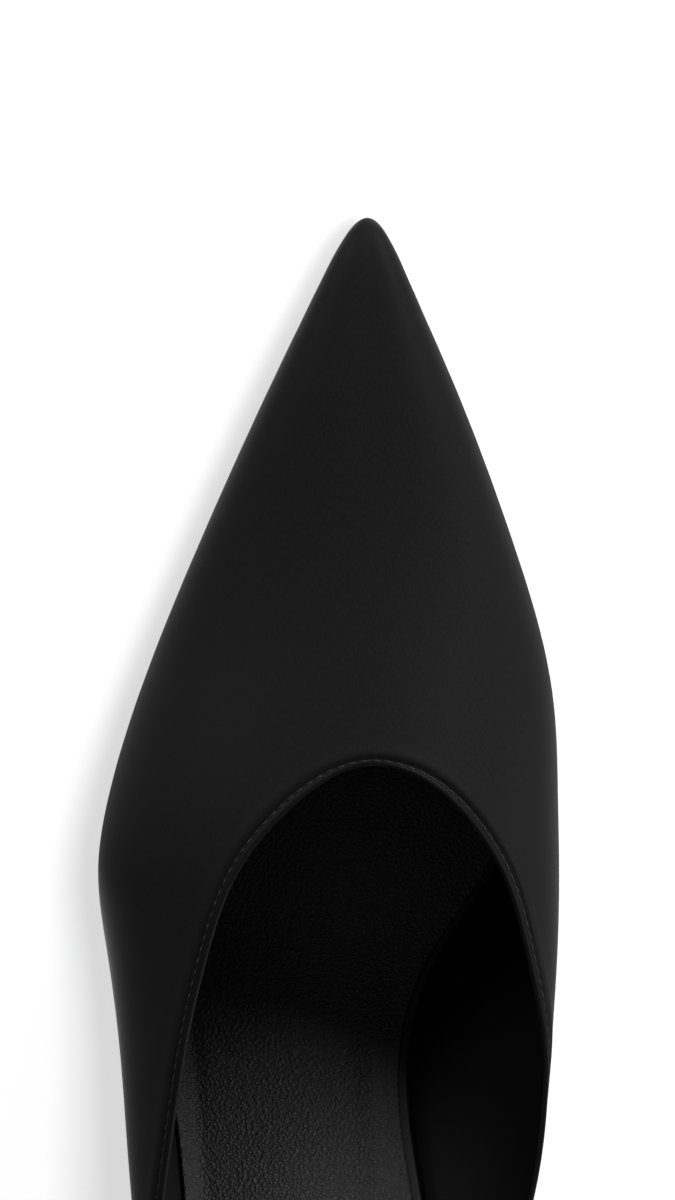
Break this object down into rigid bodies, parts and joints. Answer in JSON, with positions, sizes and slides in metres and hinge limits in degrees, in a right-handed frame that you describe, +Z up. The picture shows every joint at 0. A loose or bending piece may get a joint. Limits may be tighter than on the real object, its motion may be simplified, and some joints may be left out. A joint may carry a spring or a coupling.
{
  "type": "wedge mule",
  "caption": "Pointed backless wedge mule in black satin, with a closed vamp, open side wings, a leather sock and a full wedge on a thin flat sole; it slips onto a left foot.",
  "frame": {"origin": "on the floor under the middle of the shoe's box", "axes": "+Y to the toe, +X to the inner side of the foot, +Z up"},
  "size_m": [0.0799, 0.2478, 0.0641],
  "materials": {
    "upper_satin": "black satin over a leather lining, soft low sheen, edge folded and stitched",
    "wedge_satin": "black satin drawn over the wedge",
    "insole_board": "board with a smooth black covered rim",
    "sock_leather": "black pebbled leather, half gloss, thinly padded",
    "sole_leather": "plain smooth sole leather with a dark edge"
  },
  "bodies": {
    "root": {"upper": "upper_satin", "wedge_heel": "wedge_satin", "insole": "insole_board", "sock": "sock_leather", "outsole": "sole_leather"}
  },
  "joints": []
}
